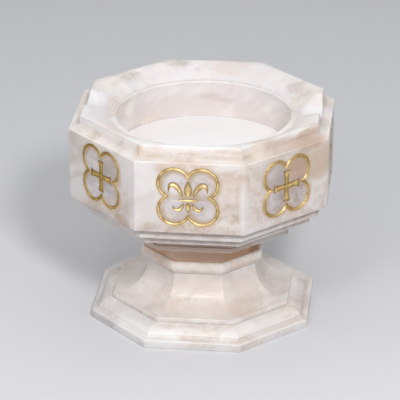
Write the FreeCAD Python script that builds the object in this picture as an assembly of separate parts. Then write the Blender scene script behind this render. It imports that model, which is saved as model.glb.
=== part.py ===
import FreeCAD, Part
import math
import os

# Holy water stoup: an octagonal alabaster bowl on a moulded octagonal foot.
# Five stones stand on thin beds of resin cement and are drawn together by one
# brass rod, nutted in a pocket under the basin floor and in a pocket under the plinth.
# Millimetres. Origin at the centre of the underside, +Z up, one flat face towards -Y.

V = FreeCAD.Vector
UP = V(0, 0, 1)

# Driving dimensions. A half width runs from the axis square-on to a flat face.
BODY_HALF = 178.0          # 14 in across the flats
PLINTH_HALF = 153.0        # 12 in across the flats
HEIGHT = 306.5             # about 12 in overall
BED = 1.0                  # thickness of a cement bed

# Heights of the bed joints, each the underside of its bed
PLINTH_TOP = 26.5
FOOT_TOP = 80.0
COLLAR_TOP = 100.5
NECK_TOP = 135.5

# Half widths of the stones where they meet
RIM_HALF = 162.5
TIER_HALF = 124.0
SHAFT_HALF = 76.5
COLLAR_SEAT_HALF = 78.0
NECK_HALF = 80.5
BOWL_SEAT_HALF = 123.5

# The slanting faces stand a little further out than the square ones
FOOT_DIAGONAL = 1.016
RIM_DIAGONAL_SHIFT = 2.7

# Bowl mouldings
FACE_BOTTOM = 189.5
FACE_TOP = 291.5
RIM_COVE = 10.5            # radius of the cove under the rim
RIM_TAPER = 1.5            # how far the rim fillet leans in towards its top arris
UPPER_STEP_HALF = 166.0
UPPER_STEP_BOTTOM = 174.0
LOWER_STEP_HALF = 153.5
LOWER_STEP_BOTTOM = 161.5
UNDER_COVE_HALF = 150.0    # where the cove under the steps leaves their soffit
UNDER_COVE = 32.0          # radius of that cove
SEAT_FILLET_HALF = 121.0   # where it meets the fillet above the seat

# Basin, turned on the axis
BASIN_RADIUS = 126.0
BASIN_SEAT = 223.5         # where the bed of the floor disc lies
DISC_THICKNESS = 12.0
FLOOR_BED = 2.0
DISC_GAP = 0.5
LIP_CREST_RADIUS = 123.5   # the lip's rounded nose: its centre's radius and height
LIP_CREST_HEIGHT = 290.5
LIP_NOSE = 2.5             # and its own radius
WALL_UPRIGHT = 245.0       # above this the wall leans in a little
WALL_LEAN_RADIUS = 124.7   # its radius where the hollow under the lip starts
WALL_LEAN_TOP = 279.0
LIP_HOLLOW = (123.4, 285.5)
LIP_FLATS = (212, 178, 144, 110, 75)   # degrees round the nose, turned as narrow flats
QUIRK_RADIUS = 126.5       # flat between the lip and the dish
QUIRK_WIDTH = 1.0
DISH_INNER_HEIGHT = 291.5
DISH_OUTER_RADIUS = 152.0
DISH_HOLLOW = 1.2          # how far the dish sinks below a straight cone

# Foot and plinth mouldings
TIER_TOP = 33.5
SHAFT_COVE = 44.5          # radius of the large cavetto
COLLAR_BULGE_HALF = 85.4
COLLAR_BULGE_HEIGHT = 91.5
COLLAR_TOP_HALF = 82.3
PLINTH_FACE = 11.5
PLINTH_WEATHERING = 0.8    # fall of the narrow flat above the face
HOLLOW_HALF = 147.5        # foot of the small hollow
OVOLO_NOSE_HALF = 143.0
OVOLO_NOSE_HEIGHT = 18.0
OVOLO_BACK_HALF = 126.0
BED_RECESS = 0.5           # how far a bed stays inside the stone above it
FOOT_BED_RECESS = 1.5

# Rod, nuts, washers and their pockets
ROD_RADIUS = 5.0
ROD_HOLE_RADIUS = 6.0
ROD_BOTTOM = 3.0
ROD_TOP = 218.5
ROD_CHAMFER = 1.0
POCKET_RADIUS = 17.0
UPPER_POCKET_FLOOR = 201.5
LOWER_POCKET_ROOF = 16.5
PACKING_RADIUS = 15.5
PACKING_THICKNESS = 2.0
WASHER_RADIUS = 15.0
WASHER_THICKNESS = 2.5
WASHER_HOLE_RADIUS = 5.3
NUT_ACROSS_FLATS = 17.0
NUT_HEIGHT = 8.0
NUT_FACE_SHARE = 0.95      # diameter of the nut's round face over its width across flats

CLEAR = 5.0                # how far a cutting tool runs past the stone


def outline_edges(outline):
    """Edges in the XZ plane along a list of (out, up) or (out, up, point the arc passes)."""
    edges = []
    start = V(outline[0][0], 0, outline[0][1])
    for step in outline[1:]:
        end = V(step[0], 0, step[1])
        if len(step) == 3:
            middle = V(step[2][0], 0, step[2][1])
            edges.append(Part.Arc(start, middle, end).toShape())
        else:
            edges.append(Part.makeLine(start, end))
        start = end
    return edges


def section(outline):
    """Flat section of a moulded stone: the outline from axis to axis, and its mirror image."""
    right = Part.Wire(outline_edges(outline))
    left = right.mirror(V(0, 0, 0), V(1, 0, 0))
    return Part.Face(Part.Wire(Part.sortEdges(right.Edges + left.Edges)[0]))


def octagonal_stone(square_on, slanting=None):
    """Stone with the same moulding run round eight faces and mitred at the corners.

    A bar of the section is laid along each of the four directions, and the stone is
    what all four bars share, so every mitre comes out where two faces really meet.
    """
    reach = 2 * BODY_HALF
    stone = None
    for turn in range(4):
        outline = slanting if slanting and turn % 2 else square_on
        bar = section(outline).extrude(V(0, 2 * reach, 0))
        bar.translate(V(0, -reach, 0))
        bar.rotate(V(0, 0, 0), UP, 45 * turn)
        stone = bar if stone is None else stone.common(bar)
    return stone.removeSplitter()


def widened(outline, factor):
    """The same outline with every distance from the axis multiplied by factor."""
    result = []
    for step in outline:
        moved = [step[0] * factor, step[1]]
        if len(step) == 3:
            moved.append((step[2][0] * factor, step[2][1]))
        result.append(tuple(moved))
    return result


def on_circle(centre, radius, degrees):
    """Point on a circle in the section, such as the middle of a quarter-round arc."""
    angle = math.radians(degrees)
    return centre[0] + radius * math.cos(angle), centre[1] + radius * math.sin(angle)


def turned(outline):
    """Solid turned about the axis from an outline that starts and ends on it."""
    edges = outline_edges(outline + [outline[0]])
    return Part.Face(Part.Wire(edges)).revolve(V(0, 0, 0), UP, 360)


def drum(radius, bottom, top):
    """Round bar on the axis."""
    return Part.makeCylinder(radius, top - bottom, V(0, 0, bottom))


def ring(radius, hole_radius, bottom, top):
    """Flat ring on the axis."""
    return drum(radius, bottom, top).cut(drum(hole_radius, bottom, top))


def bored(stone, bottom, top):
    """The stone with the clearance hole for the rod through it."""
    return stone.cut(drum(ROD_HOLE_RADIUS, bottom - CLEAR, top + CLEAR))


def slab_outline(half, bottom, top):
    """Outline of a plain octagonal slab."""
    return [(0, bottom), (half, bottom), (half, top), (0, top)]


def bowl_outline(rim_half):
    """Bowl from its seat on the neck, up the stepped mouldings, the face and the rim cove."""
    bottom = NECK_TOP + BED
    under_centre = (UNDER_COVE_HALF, LOWER_STEP_BOTTOM - UNDER_COVE)
    under_start = math.acos((SEAT_FILLET_HALF - UNDER_COVE_HALF) / UNDER_COVE)
    fillet_top = under_centre[1] + UNDER_COVE * math.sin(under_start)
    under_middle = on_circle(under_centre, UNDER_COVE, (math.degrees(under_start) + 90) / 2)
    cove_side = rim_half + RIM_TAPER
    cove_centre = (cove_side + RIM_COVE, FACE_TOP + RIM_COVE)
    return [
        (0, bottom),
        (BOWL_SEAT_HALF, bottom),
        (BOWL_SEAT_HALF, fillet_top),
        (SEAT_FILLET_HALF, fillet_top),
        (UNDER_COVE_HALF, LOWER_STEP_BOTTOM, under_middle),
        (LOWER_STEP_HALF, LOWER_STEP_BOTTOM),
        (LOWER_STEP_HALF, UPPER_STEP_BOTTOM),
        (UPPER_STEP_HALF, UPPER_STEP_BOTTOM),
        (UPPER_STEP_HALF, FACE_BOTTOM),
        (BODY_HALF, FACE_BOTTOM),
        (BODY_HALF, FACE_TOP),
        (cove_centre[0], FACE_TOP),
        (cove_side, cove_centre[1], on_circle(cove_centre, RIM_COVE, 225)),
        (rim_half, HEIGHT),
        (0, HEIGHT),
    ]


def basin_space():
    """What is turned out of the bowl: seat, upright wall, rolled lip and shallow dish."""
    nose = (LIP_CREST_RADIUS, LIP_CREST_HEIGHT)
    lip = [on_circle(nose, LIP_NOSE, angle) for angle in LIP_FLATS]
    dish_inner = QUIRK_RADIUS + QUIRK_WIDTH
    dish_middle = (
        (dish_inner + DISH_OUTER_RADIUS) / 2,
        (DISH_INNER_HEIGHT + HEIGHT) / 2 - DISH_HOLLOW,
    )
    return turned([
        (0, BASIN_SEAT),
        (BASIN_RADIUS, BASIN_SEAT),
        (BASIN_RADIUS, WALL_UPRIGHT),
        (WALL_LEAN_RADIUS, WALL_LEAN_TOP),
        LIP_HOLLOW,
        *lip,
        (QUIRK_RADIUS, DISH_INNER_HEIGHT),
        (dish_inner, DISH_INNER_HEIGHT),
        (DISH_OUTER_RADIUS, HEIGHT, dish_middle),
        (DISH_OUTER_RADIUS, HEIGHT + CLEAR),
        (0, HEIGHT + CLEAR),
    ])


def bowl():
    """Bowl block with its basin, the pocket for the upper nut and the rod hole."""
    stone = octagonal_stone(bowl_outline(RIM_HALF), bowl_outline(RIM_HALF + RIM_DIAGONAL_SHIFT))
    stone = stone.cut(basin_space())
    stone = stone.cut(drum(POCKET_RADIUS, UPPER_POCKET_FLOOR, BASIN_SEAT + CLEAR))
    return bored(stone, NECK_TOP, UPPER_POCKET_FLOOR)


def neck():
    """Short octagonal drum that carries the bowl."""
    bottom = COLLAR_TOP + BED
    return bored(octagonal_stone(slab_outline(NECK_HALF, bottom, NECK_TOP)), bottom, NECK_TOP)


def collar():
    """Octagonal roll moulding between the neck and the foot."""
    bottom = FOOT_TOP + BED
    outline = [
        (0, bottom),
        (COLLAR_SEAT_HALF, bottom),
        (COLLAR_TOP_HALF, COLLAR_TOP, (COLLAR_BULGE_HALF, COLLAR_BULGE_HEIGHT)),
        (0, COLLAR_TOP),
    ]
    return bored(octagonal_stone(outline), bottom, COLLAR_TOP)


def foot():
    """Foot stone: an upright tier fillet, then one large cavetto up to the shaft."""
    bottom = PLINTH_TOP + BED
    centre = (SHAFT_HALF + SHAFT_COVE, TIER_TOP + SHAFT_COVE)
    outline = [
        (0, bottom),
        (TIER_HALF, bottom),
        (TIER_HALF, TIER_TOP),
        (centre[0], TIER_TOP),
        (SHAFT_HALF, centre[1], on_circle(centre, SHAFT_COVE, 225)),
        (SHAFT_HALF, FOOT_TOP),
        (0, FOOT_TOP),
    ]
    return bored(octagonal_stone(outline, widened(outline, FOOT_DIAGONAL)), bottom, FOOT_TOP)


def plinth():
    """Plinth stone: upright face, narrow flat, small hollow and a flat ovolo, nut pocket below."""
    hollow_foot = PLINTH_FACE + PLINTH_WEATHERING
    hollow_rise = OVOLO_NOSE_HEIGHT - hollow_foot
    hollow_middle = (OVOLO_NOSE_HALF + hollow_rise / 4, hollow_foot + hollow_rise / 3)
    ovolo_rise = PLINTH_TOP - OVOLO_NOSE_HEIGHT
    ovolo_middle = (OVOLO_NOSE_HALF - ovolo_rise / 2, OVOLO_NOSE_HEIGHT + ovolo_rise * 2 / 3)
    outline = [
        (0, 0),
        (PLINTH_HALF, 0),
        (PLINTH_HALF, PLINTH_FACE),
        (HOLLOW_HALF, hollow_foot),
        (OVOLO_NOSE_HALF, OVOLO_NOSE_HEIGHT, hollow_middle),
        (OVOLO_BACK_HALF, PLINTH_TOP, ovolo_middle),
        (0, PLINTH_TOP),
    ]
    stone = octagonal_stone(outline, widened(outline, FOOT_DIAGONAL))
    stone = stone.cut(drum(POCKET_RADIUS, -CLEAR, LOWER_POCKET_ROOF))
    return bored(stone, LOWER_POCKET_ROOF, PLINTH_TOP)


def cement_bed(half, bottom):
    """Thin octagonal bed of cement, open round the rod."""
    return bored(octagonal_stone(slab_outline(half, bottom, bottom + BED)), bottom, bottom + BED)


def floor_bed():
    """Bed of white cement that closes the nut pocket and carries the floor disc."""
    return ring(BASIN_RADIUS, POCKET_RADIUS, BASIN_SEAT, BASIN_SEAT + FLOOR_BED)


def floor_disc():
    """White disc that is the floor of the basin."""
    bottom = BASIN_SEAT + FLOOR_BED
    return drum(BASIN_RADIUS - DISC_GAP, bottom, bottom + DISC_THICKNESS)


def hex_nut(bottom):
    """Hexagon nut with a flat bearing face below and the corners of its top chamfered."""
    corner_radius = NUT_ACROSS_FLATS / math.sqrt(3)
    corners = [
        V(corner_radius * math.cos(math.radians(60 * k)),
          corner_radius * math.sin(math.radians(60 * k)), bottom)
        for k in range(7)
    ]
    prism = Part.Face(Part.makePolygon(corners)).extrude(V(0, 0, NUT_HEIGHT))
    face_radius = NUT_FACE_SHARE * NUT_ACROSS_FLATS / 2
    chamfer = (corner_radius - face_radius) * math.tan(math.radians(30))
    barrel = turned([
        (0, bottom),
        (corner_radius, bottom),
        (corner_radius, bottom + NUT_HEIGHT - chamfer),
        (face_radius, bottom + NUT_HEIGHT),
        (0, bottom + NUT_HEIGHT),
    ])
    bore = drum(ROD_RADIUS, bottom - CLEAR, bottom + NUT_HEIGHT + CLEAR)
    return prism.common(barrel).cut(bore)


def fastenings():
    """Rod with a packing ring, a washer and a nut at each end, keyed by node name."""
    upper_washer = UPPER_POCKET_FLOOR + PACKING_THICKNESS
    upper_nut = upper_washer + WASHER_THICKNESS
    lower_washer = LOWER_POCKET_ROOF - PACKING_THICKNESS - WASHER_THICKNESS
    lower_nut = lower_washer - NUT_HEIGHT
    return {
        "tie_rod": turned([
            (0, ROD_BOTTOM),
            (ROD_RADIUS - ROD_CHAMFER, ROD_BOTTOM),
            (ROD_RADIUS, ROD_BOTTOM + ROD_CHAMFER),
            (ROD_RADIUS, ROD_TOP - ROD_CHAMFER),
            (ROD_RADIUS - ROD_CHAMFER, ROD_TOP),
            (0, ROD_TOP),
        ]),
        "upper_packing": ring(PACKING_RADIUS, ROD_HOLE_RADIUS, UPPER_POCKET_FLOOR, upper_washer),
        "upper_washer": ring(WASHER_RADIUS, WASHER_HOLE_RADIUS, upper_washer, upper_nut),
        "upper_nut": hex_nut(upper_nut),
        "lower_packing": ring(PACKING_RADIUS, ROD_HOLE_RADIUS,
                              LOWER_POCKET_ROOF - PACKING_THICKNESS, LOWER_POCKET_ROOF),
        "lower_washer": ring(WASHER_RADIUS, WASHER_HOLE_RADIUS, lower_washer,
                             lower_washer + WASHER_THICKNESS),
        "lower_nut": hex_nut(lower_nut),
    }


def build():
    """Every sub-part, keyed by node name."""
    nodes = {
        "plinth": plinth(),
        "foot": foot(),
        "collar": collar(),
        "neck": neck(),
        "bowl": bowl(),
        "bed_under_foot": cement_bed(TIER_HALF - FOOT_BED_RECESS, PLINTH_TOP),
        "bed_under_collar": cement_bed(SHAFT_HALF - BED_RECESS, FOOT_TOP),
        "bed_under_neck": cement_bed(NECK_HALF - BED_RECESS, COLLAR_TOP),
        "bed_under_bowl": cement_bed(NECK_HALF - BED_RECESS, NECK_TOP),
        "floor_bed": floor_bed(),
        "floor_disc": floor_disc(),
    }
    nodes.update(fastenings())
    return nodes


os.makedirs("parts", exist_ok=True)
for name, shape in build().items():
    print(name, shape.ShapeType, len(shape.Solids), "valid", shape.isValid(), round(shape.Volume))
    shape.exportStep("parts/" + name + ".step")
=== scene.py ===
import math

import bmesh
import bpy
import numpy as np
from mathutils import Euler, Matrix, Vector
from mathutils.geometry import tessellate_polygon


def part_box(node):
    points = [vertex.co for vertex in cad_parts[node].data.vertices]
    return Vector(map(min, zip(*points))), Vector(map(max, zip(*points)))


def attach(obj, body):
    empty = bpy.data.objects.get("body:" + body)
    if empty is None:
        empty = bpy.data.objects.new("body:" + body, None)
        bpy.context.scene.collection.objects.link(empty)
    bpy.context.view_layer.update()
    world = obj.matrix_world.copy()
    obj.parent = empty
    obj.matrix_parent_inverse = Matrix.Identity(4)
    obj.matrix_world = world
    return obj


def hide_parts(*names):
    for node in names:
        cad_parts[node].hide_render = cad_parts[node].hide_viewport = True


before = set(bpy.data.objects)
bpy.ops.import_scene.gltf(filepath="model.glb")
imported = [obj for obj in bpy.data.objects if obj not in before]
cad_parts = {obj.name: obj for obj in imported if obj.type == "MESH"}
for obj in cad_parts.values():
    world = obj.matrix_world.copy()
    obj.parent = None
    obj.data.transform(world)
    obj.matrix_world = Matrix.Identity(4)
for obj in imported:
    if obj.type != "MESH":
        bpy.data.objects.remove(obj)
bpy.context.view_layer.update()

scene = bpy.context.scene

# === Plinth: the lowest slab, a whiter alabaster than the foot above it. An octagon with an
# upright face, a narrow weathered flat, a small hollow and a flat ovolo, sawn and rubbed
# smooth, its arrises eased by hand and chipped since. The other stones are worked alike.

MM = 0.001
FACES = 8
BEND = 4                      # stations round each corner of an octagon
ROD_HOLE = 6.0                # radius of the hole through every stone, mm


def stations(run):
    """Stations round an octagon: `run` along each straight face, then BEND round its corner.

    Returns the face index, the share of the straight passed and the share of the corner
    turned at each station.
    """
    face = np.repeat(np.arange(FACES), run + BEND)
    step = np.tile(np.arange(run + BEND), FACES)
    return face, np.clip(step / run, 0, 1), np.clip((step - run) / BEND, 0, 1)


def on_circle(angle):
    """Unit vectors in plan at those angles from +X."""
    return np.stack([np.cos(angle), np.sin(angle)], -1)


def facing(eighths):
    """Unit vectors in plan at that many eighths of a turn from +X."""
    return on_circle(np.asarray(eighths) * math.tau / FACES)


def octagon(halves, corner, plan):
    """Rows of plan points, [row, station, xy], round octagons with rounded corners.

    halves[row, face] is the distance of each face from the axis and corner[row, face] the
    radius at its far corner. A corner's centre is where the two neighbouring faces, moved
    in by the radius, cross; the straight run joins the tangent points, and the corner is
    the centre plus the radius along a normal that turns from one face to the next.
    """
    face, along, turned = plan
    inset = halves - corner
    following = np.roll(halves, -1, 1) - corner
    across = (following - inset * math.sqrt(0.5)) / math.sqrt(0.5)
    normal = facing(np.arange(FACES))
    side = facing(np.arange(FACES) + FACES / 4)
    centre = inset[..., None] * normal + across[..., None] * side
    end = centre + corner[..., None] * normal
    start = np.roll(centre + corner[..., None] * np.roll(normal, -1, 0), 1, 1)
    radius = corner[:, face, None]
    bend = radius * (facing(face + turned) - normal[face])
    return start[:, face] + along[:, None] * (end - start)[:, face] + bend


def from_axis(plan):
    """Unit vector from the axis to each station of a middling octagon, for turned rows."""
    half, corner = 150.0, 1.0
    point = octagon(np.full((1, FACES), half), np.full((1, FACES), corner), plan)[0]
    return on_circle(np.arctan2(point[:, 1], point[:, 0]))


def wander(length, rng, waves=(2, 40)):
    """A cyclic line that drifts between about -1 and 1: half the sum of seven random sines."""
    sines = 7
    phase = np.arange(length) / length * math.tau
    count = rng.integers(*waves, sines)[:, None]
    return 0.5 * np.sin(count * phase + rng.uniform(0, math.tau, (sines, 1))).sum(0)


def chips(length, rng, number, deepest, width):
    """Rounded notches at random places along an arris, as a sum of Gaussian bells.

    A notch's depth is deepest times the cube of a random share. It reaches 0.4 to 1.4
    widths, which are shares of the way round.
    """
    place, depth, reach = rng.uniform(size=(3, number, 1))
    gap = (np.arange(length) / length - place + 0.5) % 1 - 0.5
    return (deepest * depth**3 * np.exp(-((gap / (width * (0.4 + reach))) ** 2))).sum(0)


CHIPS = (14, 2.6, 0.004)      # on an arris: how many, the deepest in mm, their width
KNOCKS = (2, 2.2, 0.06)       # the same on the octagon's upright corners
CORNER, CORNER_DRIFT, CORNER_LIMITS = 0.9, 0.35, (0.4, 2.4)      # radius of those corners, mm
# Wear rubbed onto the upright corners, which also lays a painted highlight along them.
CORNER_WEAR_AND_HIGHLIGHT = 0.7
EASE_DRIFT, LEAST_EASE, MOST_EASE = 0.3, 0.25, 0.45     # a share, mm, a share of the flat beside
DIRT_AND_SHADE_WIDTH, DIRT_AND_SHADE_SHARE = 2.2, 0.4     # reach of dirt and painted shade from a hollow corner: mm, at most this share
SHARP_HOLLOW = -0.5           # sine of the turn from which a hollow corner counts as sharp
CURVE_WEAR_AND_SHADING = 7, -0.8, 0.3     # wear and painted shading on a curve, lighter where it rounds and darker in a hollow: mm times its curvature, and the limits


def carve_rows(profile, plan, seed, slant=1.0, nicks=()):
    """The surface of a moulded stone: (rows, wear, first row of each profile entry).

    The profile is a list of (half width, height, ease) that runs up the outside, and the
    slanting faces stand slant times as far out. Where ease is above zero the corner is cut
    back along both sides by ease, wandering and chipped round the stone, and rounded by a
    quadratic curve between the two cuts. A sharp hollow corner gets a row on either side.
    Entries whose ease is None are turned, and their half width is a radius. The second
    result, by row and station, is 1 on an arris, where the stone is bruised white and a
    painted highlight runs along it, and -1 in a hollow corner, where dirt stays and painted
    shade lies in the corner; on a curve it follows the curvature per mm, as painted light on
    a rounding and painted shade in a hollow, and the upright corners add rubbing and a
    painted highlight to it. nicks are single larger knocks: (height of the arris, share of
    the way round, depth mm, reach as a share of the way round).
    """
    rng = np.random.default_rng(seed)
    count = len(plan[0])
    normal, outward = facing(plan[0] + plan[2]), from_axis(plan)
    section = np.array([entry[:2] for entry in profile], float)
    back, ahead = np.roll(section, 1, 0) - section, np.roll(section, -1, 0) - section
    behind, beyond = np.hypot(*back.T), np.hypot(*ahead.T)
    back, ahead = back / behind[:, None], ahead / beyond[:, None]
    bend = ahead[:, 0] * back[:, 1] - ahead[:, 1] * back[:, 0]
    wear_and_shade_scale, *limits = CURVE_WEAR_AND_SHADING
    curved = np.clip(wear_and_shade_scale * bend / ((behind + beyond) / 2), *limits)
    rows, wear_and_shading, first = [], [], []
    for (half, height, ease), one, two, space, hollow, dirt_and_shading in zip(
            profile, back, ahead, np.minimum(behind, beyond), bend < SHARP_HOLLOW, curved):
        first.append(len(rows))
        shifts, worn_and_shaded = [np.zeros(2)], [dirt_and_shading]
        rubbed_and_highlit = CORNER_WEAR_AND_HIGHLIGHT * np.sin(math.pi * plan[2])
        cut = np.full(count, min(DIRT_AND_SHADE_WIDTH, DIRT_AND_SHADE_SHARE * space))
        if ease is None:
            ring, worn_and_shaded, rubbed_and_highlit = half * outward, [0], np.zeros(count)
        else:
            knocked = chips(FACES, rng, *KNOCKS)
            corner = CORNER + CORNER_DRIFT * wander(FACES, rng, (1, 4)) + knocked
            halves = np.where(np.arange(FACES) % 2, half + half * (slant - 1), half)
            ring = octagon(halves[None], corner[None].clip(*CORNER_LIMITS), plan)[0]
            if ease:
                cut = ease * (1 + EASE_DRIFT * wander(count, rng)) + chips(count, rng, *CHIPS)
                for at, share, depth, reach in nicks:
                    if at == height:
                        gap = np.arange(count) / count - share
                        cut = cut + depth * np.exp(-((gap / reach) ** 2))
                cut = cut.clip(LEAST_EASE, MOST_EASE * space)
                shifts = [(1 - share) ** 2 * one + share**2 * two for share in np.linspace(0, 1, 5)]
                worn_and_shaded = [0, 1, 1, 1, 0]
            elif hollow:
                shifts, worn_and_shaded = [one, np.zeros(2), two], [0, -1, 0]
        for shift, share in zip(shifts, worn_and_shaded):
            plan_point = ring + (cut * shift[0])[:, None] * normal
            rows.append(np.concatenate([plan_point, (height + cut * shift[1])[:, None]], 1))
            wear_and_shading.append(share + rubbed_and_highlit)
    return np.array(rows), np.array(wear_and_shading).clip(-1, 1), first


def arc(centre, radius, start, end, count):
    """Profile entries along a circle of the section, both ends included, angles in degrees."""
    angle = np.radians(np.linspace(start, end, count))
    half, height = centre[0] + radius * np.cos(angle), centre[1] + radius * np.sin(angle)
    return [(x, z, 0) for x, z in zip(half, height)]


def between(first, last, count, bulge=0.0):
    """Entries strictly between two section points, bowed out of the line by bulge mm."""
    share = np.linspace(0, 1, count + 2)[1:-1, None]
    first, last = np.array(first), np.array(last)
    run = (last - first) / np.hypot(*(last - first))
    bow = 4 * bulge * share * (1 - share) * np.array([run[1], -run[0]])
    return [(x, z, 0) for x, z in first + share * (last - first) + bow]


def grid_faces(rows, count):
    """Quads of a surface that closes on itself both ways: [row, station, 4] vertex numbers."""
    row, station = np.arange(rows)[:, None], np.arange(count)[None]
    below, beside = (row + 1) % rows, (station + 1) % count
    corners = [row * count + station, row * count + beside, below * count + beside,
               below * count + station]
    return np.stack(np.broadcast_arrays(*corners), -1)


WELD = 2e-6                   # points nearer than this are one, metres
SHARP_ANGLE = 35              # edges that turn by more degrees stay sharp


def make_piece(name, points, faces, materials, choice=None, wear_and_shading=None):
    """A mesh object from points in mm and faces, closed, outward, smooth but for its arrises."""
    mesh = bpy.data.meshes.new(name)
    mesh.from_pydata((np.asarray(points) * MM).tolist(), [], faces)
    for material in materials:
        mesh.materials.append(material)
    if choice is not None:
        mesh.polygons.foreach_set("material_index", choice)
    mesh.polygons.foreach_set("use_smooth", np.ones(len(faces), bool))
    # The points' wear, with painted highlight and painted shade, goes into an attribute.
    if wear_and_shading is not None:
        mesh.attributes.new("wear_and_shading", "FLOAT", "POINT").data.foreach_set("value", wear_and_shading)
    work = bmesh.new()
    work.from_mesh(mesh)
    bmesh.ops.remove_doubles(work, verts=work.verts, dist=WELD)
    bmesh.ops.dissolve_degenerate(work, edges=work.edges, dist=WELD)
    bmesh.ops.recalc_face_normals(work, faces=work.faces)
    work.to_mesh(mesh)
    work.free()
    mesh.set_sharp_from_angle(angle=math.radians(SHARP_ANGLE))
    piece = bpy.data.objects.new(name, mesh)
    scene.collection.objects.link(piece)
    return piece


def make_shell(name, rows, material, last=None, wear_and_shading=None):
    """A piece from rows of points. last is -1 where both end rows lie on the axis."""
    faces = grid_faces(*rows.shape[:2])[:last].reshape(-1, 4).tolist()
    return make_piece(name, rows.reshape(-1, 3), faces, [material], wear_and_shading=wear_and_shading)


def rest_on(piece, slot, *nodes):
    """The piece stands for its CAD nodes, which are hidden, and moves with the stoup. slot is not
    used.
    """
    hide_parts(*nodes)
    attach(piece, "root")


def make_stone(node, profile, run, seed, material, slot, slant=1.0):
    """A node's stone, carved to a profile all round, with its wear, painted highlight and painted
    shade.
    """
    rows, wear_and_shading, _ = carve_rows(profile, stations(run), seed, slant)
    rest_on(make_shell(node + "_stone", rows, material, wear_and_shading=wear_and_shading.ravel()), slot, node)


def add(tree, kind, settings=None, **inputs):
    """Add a shader node. An input that is a socket is linked, anything else is its value."""
    made = tree.nodes.new("ShaderNode" + kind)
    for key, value in (settings or {}).items():
        setattr(made, key, value)
    for key, value in inputs.items():
        socket = made.inputs[int(key[1:])] if key[0] == "_" else made.inputs[key.replace("_", " ")]
        if isinstance(value, bpy.types.NodeSocket):
            tree.links.new(value, socket)
        else:
            socket.default_value = value
    return made


def maths(tree, operation, *values, kind="Math"):
    """Result of a Math node, or of a VectorMath node."""
    inputs = {f"_{place}": value for place, value in enumerate(values)}
    outputs = add(tree, kind, {"operation": operation}, **inputs).outputs
    return outputs["Value" if kind == "Math" or operation == "LENGTH" else "Vector"]


def times(tree, first, second):
    """Product of two values."""
    return maths(tree, "MULTIPLY", first, second)


def ramp(tree, value, low, high, to_low=0.0, to_high=1.0):
    """Smooth step of a value from low to high."""
    kind = {"interpolation_type": "SMOOTHSTEP"}
    step = add(tree, "MapRange", kind, Value=value, From_Min=low, From_Max=high,
               To_Min=to_low, To_Max=to_high)
    return step.outputs["Result"]


def linear(tone):
    """Linear colour of 0-255 screen values. A socket passes as it is."""
    if isinstance(tone, bpy.types.NodeSocket):
        return tone
    value = np.array(tone) / 255
    lit = np.where(value < 0.04045, value / 12.92, ((value + 0.055) / 1.055) ** 2.4)
    return (*lit, 1.0)


def blend(tree, share, first, second):
    """Mix two colours by share. Each is a socket or 0-255 screen values."""
    mixed = add(tree, "Mix", {"data_type": "RGBA"}, _0=share, _6=linear(first), _7=linear(second))
    return mixed.outputs[2]


def noise(tree, vector, scale, detail=6.0, roughness=0.6):
    """Value of a fractal noise, about 0.5 in the mean."""
    made = add(tree, "TexNoise", Vector=vector, Scale=scale, Detail=detail, Roughness=roughness)
    return made.outputs[0]


def wear_and_shading_share(tree):
    """Value of the attribute of wear, painted highlight and painted shade."""
    return add(tree, "Attribute", {"attribute_name": "wear_and_shading"}).outputs["Fac"]


def new_material(name):
    """Material with a bare tree: (material, tree, shader, object coordinates)."""
    material = bpy.data.materials.new(name)
    material.use_nodes = True
    tree = material.node_tree
    here = add(tree, "TexCoord").outputs["Object"]
    return material, tree, tree.nodes["Principled BSDF"], here


def dress(tree, shader, colour, roughness, height, strength, distance):
    """Give the shader its colour and roughness, and a relief of that height."""
    relief = add(tree, "Bump", Height=height, Strength=strength, Distance=distance).outputs[0]
    for socket, value in (("Base Color", colour), ("Roughness", roughness), ("Normal", relief)):
        tree.links.new(value, shader.inputs[socket])


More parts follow.
